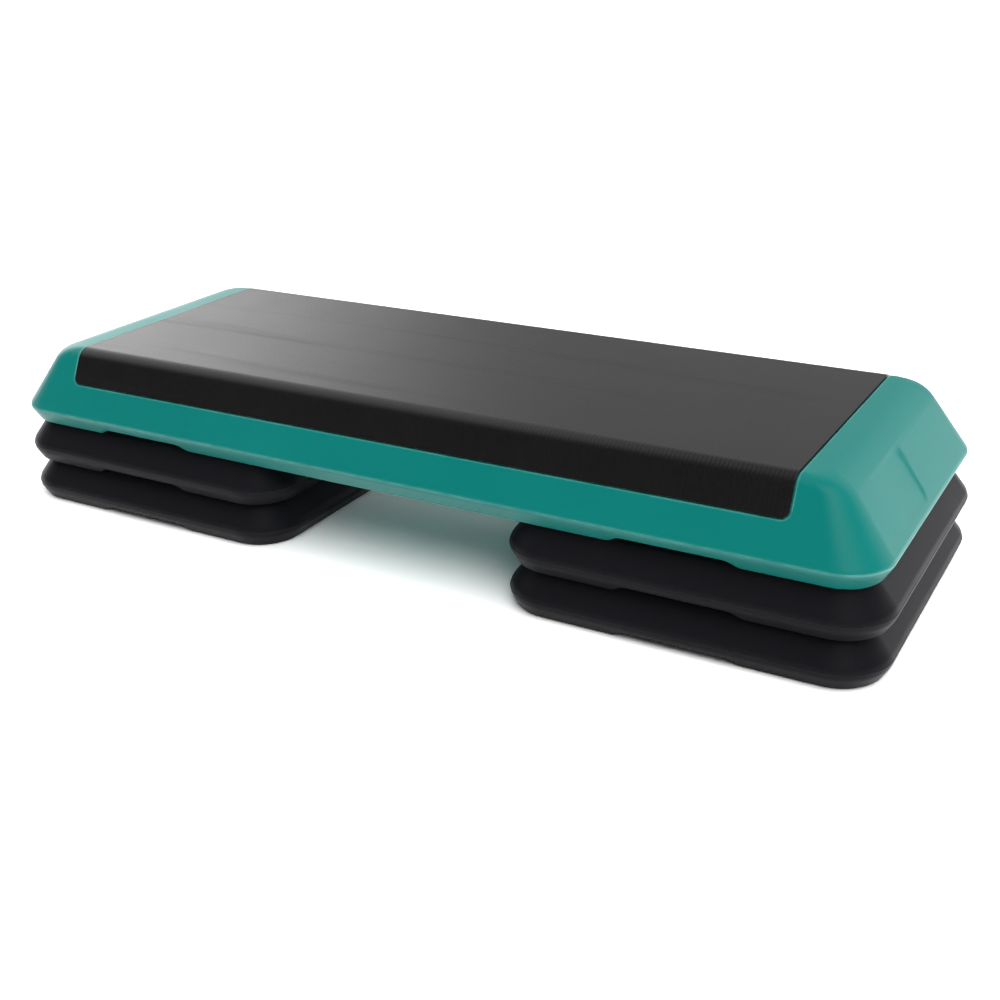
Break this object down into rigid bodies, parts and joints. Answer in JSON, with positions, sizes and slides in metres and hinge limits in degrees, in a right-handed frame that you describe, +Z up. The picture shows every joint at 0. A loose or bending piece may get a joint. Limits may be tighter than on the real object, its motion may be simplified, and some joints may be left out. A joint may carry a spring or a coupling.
{
  "type": "aerobic step platform",
  "caption": "Aerobic step with a long moulded platform, a ribbed rubber tread wrapped over its long edges, and stacked lift-off risers under each end.",
  "frame": {"origin": "the floor under the middle of the platform, with both stacks of risers in place", "axes": "+X along the platform's length, +Y across its width towards the back, +Z up"},
  "size_m": [1.1024, 0.407, 0.198],
  "materials": {
    "platform_plastic": "satin teal polyethylene with a fine moulded grain",
    "tread_rubber": "black ribbed rubber",
    "riser_plastic": "satin black polyethylene with a fine moulded grain",
    "foot_rubber": "dull dark grey rubber"
  },
  "bodies": {
    "left_lower": {"left_lower_riser": "riser_plastic", "left_lower_riser_foot_front_inner": "foot_rubber", "left_lower_riser_foot_front_outer": "foot_rubber", "left_lower_riser_foot_back_inner": "foot_rubber", "left_lower_riser_foot_back_outer": "foot_rubber"},
    "left_upper": {"left_upper_riser": "riser_plastic", "left_upper_riser_foot_front_inner": "foot_rubber", "left_upper_riser_foot_front_outer": "foot_rubber", "left_upper_riser_foot_back_inner": "foot_rubber", "left_upper_riser_foot_back_outer": "foot_rubber"},
    "right_lower": {"right_lower_riser": "riser_plastic", "right_lower_riser_foot_front_inner": "foot_rubber", "right_lower_riser_foot_front_outer": "foot_rubber", "right_lower_riser_foot_back_inner": "foot_rubber", "right_lower_riser_foot_back_outer": "foot_rubber"},
    "right_upper": {"right_upper_riser": "riser_plastic", "right_upper_riser_foot_front_inner": "foot_rubber", "right_upper_riser_foot_front_outer": "foot_rubber", "right_upper_riser_foot_back_inner": "foot_rubber", "right_upper_riser_foot_back_outer": "foot_rubber"},
    "platform": {"platform_shell": "platform_plastic", "tread_mat": "tread_rubber", "left_platform_foot_front_inner": "foot_rubber", "left_platform_foot_front_outer": "foot_rubber", "left_platform_foot_back_inner": "foot_rubber", "left_platform_foot_back_outer": "foot_rubber", "right_platform_foot_front_inner": "foot_rubber", "right_platform_foot_front_outer": "foot_rubber", "right_platform_foot_back_inner": "foot_rubber", "right_platform_foot_back_outer": "foot_rubber"}
  },
  "joints": [
    {"name": "riser_lift", "type": "slide", "parent": "left_lower", "child": "left_upper", "axis": [0, 0, 1], "range_m": [0, 0.08]},
    {"name": "platform_lift", "type": "slide", "parent": "left_upper", "child": "platform", "axis": [0, 0, 1], "range_m": [0, 0.08]},
    {"name": "right_riser_stay", "type": "slide", "parent": "platform", "child": "right_upper", "axis": [0, 0, -1], "range_m": [0, 0.08]},
    {"name": "right_base_stay", "type": "slide", "parent": "right_upper", "child": "right_lower", "axis": [0, 0, -1], "range_m": [0, 0.08]}
  ],
  "couplings": [
    {"joint": "right_riser_stay", "follows": "platform_lift", "ratio": 1},
    {"joint": "right_base_stay", "follows": "riser_lift", "ratio": 1}
  ]
}
